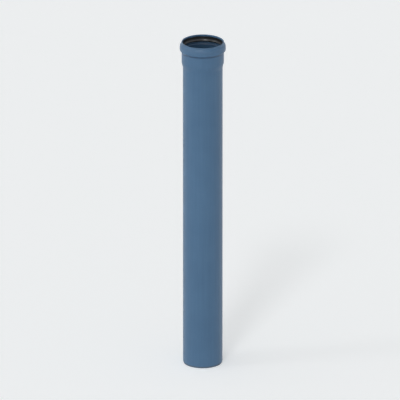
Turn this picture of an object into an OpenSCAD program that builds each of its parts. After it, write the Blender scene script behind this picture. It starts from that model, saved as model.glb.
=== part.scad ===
// Push-fit sewer pipe of polypropylene, standing on its spigot end.
// The pipe is one extruded length whose upper end is formed into a socket: a rounded mouth, a bead
// around the groove of the seal, a straight guide for the next pipe's spigot, and a shoulder that
// narrows to the barrel and stops that spigot. A rubber lip seal lies in the groove.
// Lengths are in millimetres. The origin is the centre of the spigot's end, and +Z runs up the axis
// to the mouth.

/* [Barrel] */
// Outside diameter of the barrel and of its spigot end
pipe_od = 125; // [75:1:200]
// Wall of the barrel
pipe_wall = 3.9; // [3:0.1:6]
// Length that the pipe adds to a run once its spigot is home
laying_length = 1000; // [250:10:3000]

/* [Spigot end] */
// Length of the chamfer along the axis
chamfer_length = 6; // [4:0.5:9]
// Angle of the chamfer to the axis, in degrees
chamfer_angle = 15; // [8:1:20]
// Rounding of the bore's edge
bore_edge_round = 0.5; // [0.2:0.1:0.9]

/* [Mouth] */
// Gap between the mouth and a spigot in it, on each side
mouth_play = 0.9; // [0.6:0.1:1.5]
// Wall of the rim
rim_wall = 3.6; // [3.3:0.1:5]
// Rounding of the rim's edges
rim_round = 1.6; // [0.5:0.1:1.6]
// Height of the rim above the groove
rim_height = 4; // [3.5:0.5:9]
// Hollow rounding outside, from the rim to the bead
neck_round = 6; // [2:1:7]

/* [Groove and bead] */
// Depth of the groove below the guide's wall
groove_depth = 6.1; // [5:0.1:7]
// Length of the groove's upper flank along the axis
groove_entry = 8; // [7:0.5:11]
// Length of the groove's floor
groove_floor = 13.5; // [11.5:0.5:17]
// Length of the groove's lower flank along the axis
groove_exit = 6; // [5:0.5:12]
// Rounding inside, at both edges of the floor and at the rim
groove_round = 3; // [1:0.5:4]
// Wall over the groove
bead_wall = 3.4; // [2.5:0.1:4.5]
// Rounding of the bead's upper edge outside
bead_round = 15; // [4:1:16]
// Rounding of the bead's lower edge outside
bead_edge_round = 4; // [1:0.5:6]
// Hollow rounding outside, from the bead to the guide
blend_round = 2; // [1:0.5:6]

/* [Guide and shoulder] */
// Gap between the guide and a spigot in it, on each side
guide_play = 0.4; // [0.2:0.05:0.7]
// Wall of the guide
guide_wall = 3.7; // [3:0.1:6]
// Length of the guide between the bead's flank and the shoulder
guide_length = 36.5; // [15:0.5:80]
// Length of the shoulder along the axis
shoulder_length = 16.5; // [12:0.5:40]
// Rounding outside, at both ends of the shoulder
shoulder_round = 20; // [8:1:40]

/* [Seal] */
// Gap between the seal and the groove
seal_gap = 0.2; // [0.1:0.05:0.4]
// Distance from the mouth's wall back to the seal's face
seal_setback = 0.3; // [0.1:0.1:0.8]
// Rounding of the thin edge under the rim
seal_edge_round = 0.3; // [0.1:0.1:0.4]
// Height of the seal's face between the rim and the lip's slope
seal_face = 7.5; // [3:0.5:8.5]
// Length of the lip's slope along the axis
lip_slope = 4; // [2.5:0.5:5]
// Length of the lip that lies along a spigot
lip_length = 8; // [3:0.5:9]
// Thickness of the lip's end
lip_wall = 1.6; // [1:0.1:2]
// Gap between the lip, folded back by a spigot, and that spigot
lip_play = 0.1; // [0.05:0.05:0.3]
// Rounding of the lip's slope and of the seal's heel
seal_round = 1; // [0.5:0.1:1.2]
// Width of the heel that bears on the groove's floor
heel_width = 2.8; // [2.4:0.1:3.2]
// Distance from the lower edge of the groove's floor up to the heel
heel_gap = 1.5; // [0.8:0.1:2]
// Height of the notch between the lip and the heel
notch_height = 6; // [2:0.2:7]

/* [Hidden] */
$fa = 2;
$fs = 0.4;
// How far a corner's piece runs past the corner
overrun = 1;
// How far a rounding's circle runs past the edges that it meets, so that they cross cleanly
crossing = 0.0005;
// Share of the lip's end that each of its edges rounds off
lip_end_share = 0.45;
// Share of the way from the heel to the lip at which the notch ends
notch_share = 0.65;

spigot_r = pipe_od / 2;
bore_r = spigot_r - pipe_wall;
tip_r = spigot_r - chamfer_length * tan(chamfer_angle);
mouth_r = spigot_r + mouth_play;
guide_r = spigot_r + guide_play;
groove_r = guide_r + groove_depth;
rim_r = mouth_r + rim_wall;
bead_r = groove_r + bead_wall;
socket_r = guide_r + guide_wall;

// Depths below the mouth
floor_start = rim_height + groove_entry;
floor_end = floor_start + groove_floor;
guide_start = floor_end + groove_exit;
guide_end = guide_start + guide_length;
shoulder_end = guide_end + shoulder_length;
// A spigot is home when its tip meets the shoulder
stop_depth = guide_end + shoulder_length * (guide_r - tip_r) / (guide_r - bore_r);
total_length = laying_length + stop_depth;
// The bead's lower flank lies below the groove's, so that the wall between them keeps its thickness
exit_angle = atan(groove_depth / groove_exit);
bead_end = floor_end + bead_wall * tan(exit_angle / 2);
socket_start = guide_start + guide_wall * tan(exit_angle / 2);

// The seal keeps its gap from the groove's floor and, square to the slope, from its upper flank
entry_angle = atan((groove_r - mouth_r) / groove_entry);
seal_r = groove_r - seal_gap;
seal_floor_start = floor_start + seal_gap * tan(entry_angle / 2);
seal_face_r = mouth_r + seal_setback;
seal_top = seal_floor_start - (seal_r - seal_face_r) / tan(entry_angle);
lip_r = spigot_r + lip_play;
slope_start = rim_height + seal_face;
lip_start = slope_start + lip_slope;
lip_end = lip_start + lip_length;
heel_end = floor_end - heel_gap;
heel_r = seal_r - heel_width;
notch_r = heel_r + notch_share * (lip_r + lip_wall - heel_r);

// A corner of a section is [radius, height, rounding]. Heights are measured from the mouth, so they
// are depths with a minus sign, and a section runs counterclockwise.
function place(corner) = [corner.x, corner.y];
function heading(from, to) = (to - from) / norm(to - from);

// The arc that rounds corner p between a and b: its two ends, its centre, its radius, a point beyond
// the corner, and whether the corner points out of the section
function corner_arc(a, p, b, rounding) =
    let (
        to_a = heading(p, a),
        to_b = heading(p, b),
        half_angle = acos(to_a * to_b) / 2,
        inward = (to_a + to_b) / norm(to_a + to_b)
    )
    [
        p + to_a * rounding / tan(half_angle),
        p + to_b * rounding / tan(half_angle),
        p + inward * rounding / sin(half_angle),
        rounding,
        p - inward * overrun,
        cross(to_b, to_a) > 0
    ];

// What lies between an arc and its corner, and a little beyond
module corner_piece(arc) {
    difference() {
        polygon([arc[0], arc[1], arc[4]]);
        translate(arc[2])
            circle(r = arc[3] + crossing);
    }
}

// A section with true arcs at its rounded corners: a corner that points out is cut back to its arc,
// and a hollow one is filled out to it
module rounded_section(corners) {
    last = len(corners) - 1;
    arcs = [
        for (i = [0:last])
            if (corners[i].z > 0)
                corner_arc(
                    place(corners[i == 0 ? last : i - 1]),
                    place(corners[i]),
                    place(corners[i == last ? 0 : i + 1]),
                    corners[i].z
                )
    ];
    difference() {
        union() {
            polygon([for (corner = corners) place(corner)]);
            for (arc = arcs)
                if (!arc[5])
                    corner_piece(arc);
        }
        for (arc = arcs)
            if (arc[5])
                corner_piece(arc);
    }
}

// A ring turned from a section, with its mouth at the top of the pipe
module turned(corners) {
    translate([0, 0, total_length])
        rotate_extrude()
            rounded_section(corners);
}

// Barrel, chamfered spigot and formed socket, in one piece
module pipe() {
    color([0.31, 0.42, 0.54])
        turned([
            // spigot end, then up the outside
            [bore_r, -total_length, bore_edge_round],
            [tip_r, -total_length, 0],
            [spigot_r, chamfer_length - total_length, 0],
            [spigot_r, -shoulder_end, shoulder_round],
            [socket_r, -guide_end, shoulder_round],
            [socket_r, -socket_start, blend_round],
            [bead_r, -bead_end, bead_edge_round],
            [bead_r, -floor_start, bead_round],
            [rim_r, -rim_height, neck_round],
            // over the rim, then down the inside
            [rim_r, 0, rim_round],
            [mouth_r, 0, rim_round],
            [mouth_r, -rim_height, groove_round],
            [groove_r, -floor_start, groove_round],
            [groove_r, -floor_end, groove_round],
            [guide_r, -guide_start, blend_round + guide_wall],
            [guide_r, -guide_end, shoulder_round - guide_wall],
            [bore_r, -shoulder_end, shoulder_round + pipe_wall]
        ]);
}

// Lip seal, with its lip folded back as a spigot holds it
module seal_ring() {
    color([0.1, 0.1, 0.11])
        turned([
            // heel, then up the side that bears on the groove
            [seal_r, -heel_end, seal_round],
            [seal_r, -seal_floor_start, groove_round - seal_gap],
            [seal_face_r, -seal_top, seal_edge_round],
            // down the face and the lip's slope to the lip's end
            [seal_face_r, -slope_start, seal_round],
            [lip_r, -lip_start, seal_round],
            [lip_r, -lip_end, lip_end_share * lip_wall],
            [lip_r + lip_wall, -lip_end, lip_end_share * lip_wall],
            // up into the notch and down to the heel
            [notch_r, notch_height - heel_end, 0],
            [heel_r, -heel_end, seal_round]
        ]);
}

pipe();
seal_ring();
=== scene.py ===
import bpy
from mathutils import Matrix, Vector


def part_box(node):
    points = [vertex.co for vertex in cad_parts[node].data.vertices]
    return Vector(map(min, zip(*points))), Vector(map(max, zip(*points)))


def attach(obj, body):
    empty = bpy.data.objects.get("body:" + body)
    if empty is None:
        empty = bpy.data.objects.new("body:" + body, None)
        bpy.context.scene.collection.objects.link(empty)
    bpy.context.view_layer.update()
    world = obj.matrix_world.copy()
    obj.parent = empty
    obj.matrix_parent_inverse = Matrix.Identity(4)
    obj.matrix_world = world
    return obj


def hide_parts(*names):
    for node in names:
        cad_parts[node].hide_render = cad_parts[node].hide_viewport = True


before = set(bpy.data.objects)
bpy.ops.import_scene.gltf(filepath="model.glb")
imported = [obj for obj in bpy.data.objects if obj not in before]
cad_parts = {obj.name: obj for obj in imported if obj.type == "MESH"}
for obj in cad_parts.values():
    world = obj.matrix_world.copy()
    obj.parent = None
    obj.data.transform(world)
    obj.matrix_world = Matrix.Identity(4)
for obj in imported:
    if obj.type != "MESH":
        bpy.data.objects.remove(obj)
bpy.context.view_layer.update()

import math

import bpy
from mathutils import Vector

MM = 0.001

# Sizes from the frame. A depth is measured down from the mouth.
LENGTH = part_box("pipe")[1].z
SEAL_LOW, SEAL_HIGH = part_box("seal_ring")
SEAL_R = SEAL_HIGH.x
SEAL_TOP = LENGTH - SEAL_HIGH.z
SEAL_HEEL = LENGTH - SEAL_LOW.z

# Camera: the photograph's angle, from far away through a long lens. The pipe's middle lies at the
# pixel AXIS_X, MIDDLE_Y of a square picture.
ELEVATION = math.radians(20.4)
DISTANCE = 45.0
CLIP_END = 4.0 * DISTANCE
SENSOR = 36.0
PIXELS = 400
PIXELS_PER_METRE = 317.4
AXIS_X = 202.75
MIDDLE_Y = 202.1

# Floor and light. The sky is bright along the horizon, dim from BAND_TOP upwards (the height of a
# direction of length 1), and brighter on one side. What shows as a background is PALE instead.
PALE = (0.838, 0.855, 0.863)
WHITE = (1.0, 1.0, 1.0)
FLOOR_HALF = 60.0
FLOOR_GLOW = 0.437
HORIZON = 2.75
OVERHEAD = 0.24
BAND_TOP = 0.5
SKY_SIDE = (-0.94, -0.34, 0.0)
SKY_NEAR = 1.3
SKY_FAR = 0.64
SUNS = [
    # name, degrees to the right of the camera's side, elevation, strength, angular size
    ("key", -16.5, 44.0, 0.52, 11.0),
    ("fill", -78.0, 32.0, 0.20, 14.0),
]

# In both materials a span is the part of a noise that is used, from nothing to all of its effect,
# and a bump is its strength and its height.

# Pipe: satin polypropylene
PIPE_IOR = 1.49
PIPE_LIGHT = (0.0650, 0.149, 0.262)
PIPE_DARK = (0.0485, 0.120, 0.222)
CLOUDS = dict(scale=9.0, detail=3.0)
STREAKS = dict(scale=160.0, detail=3.0, roughness=0.6, along=0.012)
FINE_STREAKS = dict(scale=700.0, detail=2.0, roughness=0.6, along=0.012)
CLOUD_SHARE = 0.45
STREAK_SHARE = 0.30
FINE_STREAK_SHARE = 0.25
TONE_SPAN = (0.34, 0.66)
STREAK_SPAN = (0.3, 0.7)
PIPE_ROUGHNESS = (0.37, 0.45)
PEEL = dict(scale=420.0, detail=2.0)
PEEL_BUMP = (0.12, 0.4 * MM)
STREAK_BUMP = (0.14, 0.3 * MM)

# Its scuffs and scratches
PIPE_SCUFF = (0.110, 0.190, 0.305)
PATCHES = dict(scale=6.0, detail=1.0)
SCUFFS = dict(scale=95.0, detail=6.0, roughness=0.75, along=0.22)
SCRATCHES = dict(scale=1100.0, detail=1.0, along=0.03)
PATCH_SPAN = (0.46, 0.66)
SCUFF_SPAN = (0.62, 0.74)
SCRATCH_SPAN = (0.70, 0.78)
MARK_SHARE = 0.45
MARK_ROUGHNESS = 0.12

# Painted shade: a darker band over the hollow under the bead and the groove's lower flank
PAINTED_CREASE_SHADE = (0.026, 0.072, 0.146)
CREASE_TOP = LENGTH - 26.0 * MM
CREASE_FOOT = LENGTH - 36.0 * MM
CREASE_FADE = 3.0 * MM
CREASE_SPAN = (0.3, 0.7)
CREASE_COVER = (0.75, 1.0)

# Its turned chamfer
CHAMFER_COLOUR = (0.078, 0.120, 0.172)
CHAMFER_LENGTH = 6.0 * MM
CHAMFER_EDGE = 0.4 * MM
CHAMFER_ROUGHNESS = 0.12
RING_PITCH = 0.9 * MM
RING_BUMP = (0.20, 0.05 * MM)

# Seal: matte black rubber
RUBBER_IOR = 1.52
RUBBER_SPECULAR = 0.35
RUBBER = (0.0100, 0.0104, 0.0112)
RUBBER_BLOOM = (0.022, 0.023, 0.025)
BLOOM = dict(scale=60.0, detail=4.0, roughness=0.65)
BLOOM_SPAN = (0.45, 0.75)
ROUGHNESS_SPAN = (0.3, 0.7)
RUBBER_ROUGHNESS = (0.42, 0.54)
GRAIN = dict(scale=2600.0, detail=2.0, roughness=0.6)
GRAIN_BUMP = (0.10, 0.15 * MM)

# Its face, and the band of its lip that is painted a lighter grey as a painted sheen and made
# glossier by a film of lubricant, which starts a little in from the face
FACE_R = 63.7 * MM
LIP_PAINTED_SHEEN = (0.040, 0.042, 0.045)
FILM_AND_SHEEN_START = FACE_R - 0.2 * MM
FILM_AND_SHEEN_FULL = FACE_R - 1.2 * MM
FILM_AND_SHEEN_SPAN = (0.2, 0.7)
FILM_AND_SHEEN_COVER = (0.6, 1.0)
FILM_GLOSS = 0.22

# Steps of its mesh, around the axis and in each rounded corner
SEAL_STEPS = 256
ARC_STEPS = 6


def rgba(colour):
    return (*colour, 1.0)


class Graph:
    """Short names for making and joining shader nodes."""

    def __init__(self, tree):
        self.tree = tree

    def node(self, kind, **inputs):
        made = self.tree.nodes.new(kind)
        for name, value in inputs.items():
            self.put(made, name.replace("_", " "), value)
        return made

    def put(self, node, socket, value):
        target = node.inputs[socket]
        if isinstance(value, bpy.types.NodeSocket):
            self.tree.links.new(value, target)
        else:
            target.default_value = value

    def math(self, operation, *values, clamp=False):
        made = self.tree.nodes.new("ShaderNodeMath")
        made.operation = operation
        made.use_clamp = clamp
        for index, value in enumerate(values):
            self.put(made, index, value)
        return made.outputs[0]

    def vector_math(self, operation, *vectors):
        made = self.tree.nodes.new("ShaderNodeVectorMath")
        made.operation = operation
        for index, vector in enumerate(vectors):
            self.put(made, index, vector)
        return made.outputs

    def scaled(self, vector, scale):
        return self.vector_math("MULTIPLY", vector, scale)["Vector"]

    def noise(self, place, scale, detail, roughness=0.5, along=1.0):
        """Noise with its scale per metre, drawn out along the pipe where along is below 1."""
        if along != 1.0:
            place = self.scaled(place, (1.0, 1.0, along))
        made = self.node(
            "ShaderNodeTexNoise", Vector=place, Scale=scale, Detail=detail, Roughness=roughness
        )
        return made.outputs["Fac"]

    def span(self, value, low, high, to_low=0.0, to_high=1.0, smooth=False):
        made = self.node(
            "ShaderNodeMapRange",
            Value=value, From_Min=low, From_Max=high, To_Min=to_low, To_Max=to_high,
        )
        made.interpolation_type = "SMOOTHSTEP" if smooth else "LINEAR"
        return made.outputs["Result"]

    def mix(self, factor, a, b):
        # A Mix node has several sockets of each name, so its colour sockets go by index
        made = self.tree.nodes.new("ShaderNodeMix")
        made.data_type = "RGBA"
        self.put(made, 0, factor)
        self.put(made, 6, a)
        self.put(made, 7, b)
        return made.outputs[2]

    def mix_shader(self, factor, a, b):
        made = self.node("ShaderNodeMixShader", Fac=factor)
        self.tree.links.new(a.outputs[0], made.inputs[1])
        self.tree.links.new(b.outputs[0], made.inputs[2])
        return made

    def add_shader(self, a, b):
        made = self.tree.nodes.new("ShaderNodeAddShader")
        self.tree.links.new(a.outputs[0], made.inputs[0])
        self.tree.links.new(b.outputs[0], made.inputs[1])
        return made

    def bump(self, height, strength, distance, normal=None):
        made = self.node("ShaderNodeBump", Height=height, Strength=strength, Distance=distance)
        if normal is not None:
            self.put(made, "Normal", normal)
        return made.outputs["Normal"]

    def place(self):
        return self.node("ShaderNodeTexCoord").outputs["Object"]

    def height(self, place):
        return self.node("ShaderNodeSeparateXYZ", Vector=place).outputs["Z"]

    def seen(self):
        """1 for rays that show a background, straight or in a reflection, and 0 for rays of light."""
        path = self.node("ShaderNodeLightPath").outputs
        shown = self.math("ADD", path["Is Camera Ray"], path["Is Glossy Ray"])
        return self.math("ADD", shown, path["Is Transmission Ray"], clamp=True)

    def finish(self, shader, kind="ShaderNodeOutputMaterial"):
        self.tree.links.new(shader.outputs[0], self.node(kind).inputs["Surface"])


def make_object(name, data):
    made = bpy.data.objects.new(name, data)
    bpy.context.scene.collection.objects.link(made)
    return made


def new_material(name):
    material = bpy.data.materials.new(name)
    material.use_nodes = True
    material.node_tree.nodes.clear()
    return material, Graph(material.node_tree)


def pipe_material():
    material, g = new_material("blue_polypropylene_satin")
    place = g.place()
    height = g.height(place)

    # slow clouds in the colour, and streaks that the die draws along the pipe
    clouds = g.noise(place, **CLOUDS)
    streaks = g.noise(place, **STREAKS)
    fine_streaks = g.noise(place, **FINE_STREAKS)
    tone = g.math(
        "ADD", g.math("MULTIPLY", clouds, CLOUD_SHARE), g.math("MULTIPLY", streaks, STREAK_SHARE)
    )
    tone = g.math("ADD", tone, g.math("MULTIPLY", fine_streaks, FINE_STREAK_SHARE))
    colour = g.mix(g.span(tone, *TONE_SPAN), rgba(PIPE_DARK), rgba(PIPE_LIGHT))

    # pale scuffs and hairline scratches from handling, in patches
    marks = g.math(
        "MAXIMUM",
        g.span(g.noise(place, **SCUFFS), *SCUFF_SPAN, smooth=True),
        g.span(g.noise(place, **SCRATCHES), *SCRATCH_SPAN, smooth=True),
    )
    patches = g.span(g.noise(place, **PATCHES), *PATCH_SPAN, smooth=True)
    marks = g.math("MULTIPLY", marks, patches)
    colour = g.mix(g.math("MULTIPLY", marks, MARK_SHARE), colour, rgba(PIPE_SCUFF))

    # painted shade darkens the hollow under the bead and the groove's lower flank, more in some
    # patches than others
    crease_shade = g.math(
        "MULTIPLY",
        g.span(height, CREASE_TOP, CREASE_TOP - CREASE_FADE, smooth=True),
        g.span(height, CREASE_FOOT, CREASE_FOOT + CREASE_FADE, smooth=True),
    )
    crease_shade = g.math("MULTIPLY", crease_shade, g.span(clouds, *CREASE_SPAN, *CREASE_COVER))
    colour = g.mix(crease_shade, colour, rgba(PAINTED_CREASE_SHADE))

    # the turned chamfer is a little greyer, with fine rings
    turned = g.span(height, CHAMFER_LENGTH, CHAMFER_LENGTH - CHAMFER_EDGE)
    colour = g.mix(turned, colour, rgba(CHAMFER_COLOUR))
    rings = g.math("SINE", g.math("MULTIPLY", height, 2.0 * math.pi / RING_PITCH))

    # the marks and the chamfer are rougher than the rest
    rough = g.span(streaks, *STREAK_SPAN, *PIPE_ROUGHNESS)
    rough = g.math("ADD", rough, g.math("MULTIPLY", marks, MARK_ROUGHNESS))
    rough = g.math("ADD", rough, g.math("MULTIPLY", turned, CHAMFER_ROUGHNESS))

    normal = g.bump(g.noise(place, **PEEL), *PEEL_BUMP)
    normal = g.bump(fine_streaks, *STREAK_BUMP, normal)
    normal = g.bump(g.math("MULTIPLY", rings, turned), *RING_BUMP, normal)

    g.finish(g.node(
        "ShaderNodeBsdfPrincipled", Base_Color=colour, Roughness=rough, IOR=PIPE_IOR, Normal=normal
    ))
    return material


def rubber_material():
    material, g = new_material("black_rubber_matte")
    place = g.place()
    bloom = g.noise(place, **BLOOM)
    colour = g.mix(g.span(bloom, *BLOOM_SPAN), rgba(RUBBER), rgba(RUBBER_BLOOM))
    rough = g.span(bloom, *ROUGHNESS_SPAN, *RUBBER_ROUGHNESS)

    # the lip is painted greyer as a painted sheen, and a film of lubricant makes it glossier
    radius = g.vector_math("LENGTH", g.scaled(place, (1.0, 1.0, 0.0)))["Value"]
    film_and_sheen = g.span(radius, FILM_AND_SHEEN_START, FILM_AND_SHEEN_FULL)
    film_and_sheen = g.math("MULTIPLY", film_and_sheen, g.span(bloom, *FILM_AND_SHEEN_SPAN, *FILM_AND_SHEEN_COVER))
    colour = g.mix(film_and_sheen, colour, rgba(LIP_PAINTED_SHEEN))
    rough = g.math("SUBTRACT", rough, g.math("MULTIPLY", film_and_sheen, FILM_GLOSS))

    g.finish(g.node(
        "ShaderNodeBsdfPrincipled",
        Base_Color=colour,
        Roughness=rough,
        IOR=RUBBER_IOR,
        Specular_IOR_Level=RUBBER_SPECULAR,
        Normal=g.bump(g.noise(place, **GRAIN), *GRAIN_BUMP),
    ))
    return material


def seal_section():
    """Corners of the seal with its lip free, as (radius, depth, rounding)."""
    return [
        # up the side that bears on the groove, from the heel to the thin edge under the rim
        (SEAL_R, SEAL_HEEL, 1.0 * MM),
        (SEAL_R, SEAL_TOP + 6.65 * MM, 2.8 * MM),
        (FACE_R, SEAL_TOP, 0.3 * MM),
        # down the face and over the lip's bend to its end
        (FACE_R, SEAL_TOP + 7.6 * MM, 1.2 * MM),
        (FACE_R - 1.2 * MM, SEAL_TOP + 10.2 * MM, 6.0 * MM),
        (FACE_R - 3.5 * MM, SEAL_TOP + 13.6 * MM, 0.5 * MM),
        (FACE_R - 2.6 * MM, SEAL_TOP + 14.8 * MM, 0.5 * MM),
        # up into the notch behind the lip, and down to the heel
        (FACE_R + 1.7 * MM, SEAL_TOP + 11.8 * MM, 1.2 * MM),
        (SEAL_R - 2.8 * MM, SEAL_HEEL, 0.9 * MM),
    ]


def rounded(section):
    """The outline as points (radius, height from the mouth), with an arc at each corner."""
    corners = [Vector((r, -depth)) for r, depth, _ in section]
    points = []
    for index, (_, _, rounding) in enumerate(section):
        corner = corners[index]
        to_last = (corners[index - 1] - corner).normalized()
        to_next = (corners[(index + 1) % len(corners)] - corner).normalized()
        half = to_last.angle(to_next) / 2.0
        reach = rounding / math.tan(half)
        centre = corner + (to_last + to_next).normalized() * rounding / math.sin(half)
        start = corner + to_last * reach - centre
        end = corner + to_next * reach - centre
        turn = -start.angle_signed(end)
        for step in range(ARC_STEPS + 1):
            angle = turn * step / ARC_STEPS
            c, s = math.cos(angle), math.sin(angle)
            points.append(centre + Vector((start.x * c - start.y * s, start.x * s + start.y * c)))
    return points


def turned_mesh(name, outline, steps, top):
    """A ring turned from a closed outline of points (radius, height from top)."""
    count = len(outline)
    verts, faces = [], []
    for step in range(steps):
        angle = 2.0 * math.pi * step / steps
        c, s = math.cos(angle), math.sin(angle)
        verts += [(p.x * c, p.x * s, top + p.y) for p in outline]
        here, there = step * count, (step + 1) % steps * count
        for i in range(count):
            j = (i + 1) % count
            faces.append((here + i, there + i, there + j, here + j))
    mesh = bpy.data.meshes.new(name)
    mesh.from_pydata(verts, [], faces)
    mesh.shade_smooth()
    return mesh


def make_seal():
    outline = rounded(seal_section())
    seal = make_object("lip_seal", turned_mesh("lip_seal", outline, SEAL_STEPS, LENGTH))
    seal.data.materials.append(rubber_material())
    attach(seal, "root")
    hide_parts("seal_ring")


def dress_pipe():
    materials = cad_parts["pipe"].data.materials
    materials.clear()
    materials.append(pipe_material())


def make_floor():
    corners = [
        (x * FLOOR_HALF, y * FLOOR_HALF, 0.0) for x, y in ((-1, -1), (1, -1), (1, 1), (-1, 1))
    ]
    mesh = bpy.data.meshes.new("floor")
    mesh.from_pydata(corners, [], [(0, 1, 2, 3)])
    material, g = new_material("floor_pale")
    lit = g.node("ShaderNodeBsdfDiffuse", Color=rgba(PALE))
    level = g.math("MULTIPLY", g.seen(), FLOOR_GLOW)
    glow = g.node("ShaderNodeEmission", Color=rgba(PALE), Strength=level)
    g.finish(g.add_shader(lit, glow))
    mesh.materials.append(material)
    make_object("floor", mesh)


def make_world():
    world = bpy.data.worlds.new("studio")
    world.use_nodes = True
    world.node_tree.nodes.clear()
    g = Graph(world.node_tree)
    towards = g.node("ShaderNodeTexCoord").outputs["Generated"]
    band = g.span(g.height(towards), 0.0, BAND_TOP, HORIZON, OVERHEAD, smooth=True)
    sideways = g.vector_math("DOT_PRODUCT", towards, SKY_SIDE)["Value"]
    side = g.span(sideways, -1.0, 1.0, SKY_FAR, SKY_NEAR)
    level = g.math("MULTIPLY", band, side)
    sky = g.node("ShaderNodeBackground", Color=rgba(WHITE), Strength=level)
    pale = g.node("ShaderNodeBackground", Color=rgba(PALE))
    g.finish(g.mix_shader(g.seen(), sky, pale), "ShaderNodeOutputWorld")
    bpy.context.scene.world = world


def make_suns():
    for name, side, up, strength, size in SUNS:
        data = bpy.data.lights.new(name, "SUN")
        data.energy = strength
        data.angle = math.radians(size)
        side, up = math.radians(side), math.radians(up)
        level = Vector((math.sin(side), -math.cos(side), 0.0)) * math.cos(up)
        towards = level + Vector((0.0, 0.0, math.sin(up)))
        lamp = make_object(name, data)
        lamp.rotation_mode = "QUATERNION"
        lamp.rotation_quaternion = towards.to_track_quat("Z", "Y")


def make_camera():
    data = bpy.data.cameras.new("camera")
    data.sensor_width = SENSOR
    data.lens = SENSOR * DISTANCE * PIXELS_PER_METRE / PIXELS
    data.clip_end = CLIP_END
    camera = make_object("camera", data)
    back = Vector((0.0, -math.cos(ELEVATION), math.sin(ELEVATION)))
    upward = Vector((0.0, math.sin(ELEVATION), math.cos(ELEVATION)))
    right = Vector((1.0, 0.0, 0.0))
    # The pipe's middle lies where the photograph has it
    aim = Vector((0.0, 0.0, LENGTH / 2.0))
    aim -= right * (AXIS_X - PIXELS / 2.0) / PIXELS_PER_METRE
    aim += upward * (MIDDLE_Y - PIXELS / 2.0) / PIXELS_PER_METRE
    camera.location = aim + back * DISTANCE
    camera.rotation_mode = "QUATERNION"
    camera.rotation_quaternion = (-back).to_track_quat("-Z", "Y")
    bpy.context.scene.camera = camera


make_camera()
dress_pipe()
make_seal()
make_floor()
make_world()
make_suns()
bpy.context.scene.view_settings.view_transform = "Standard"
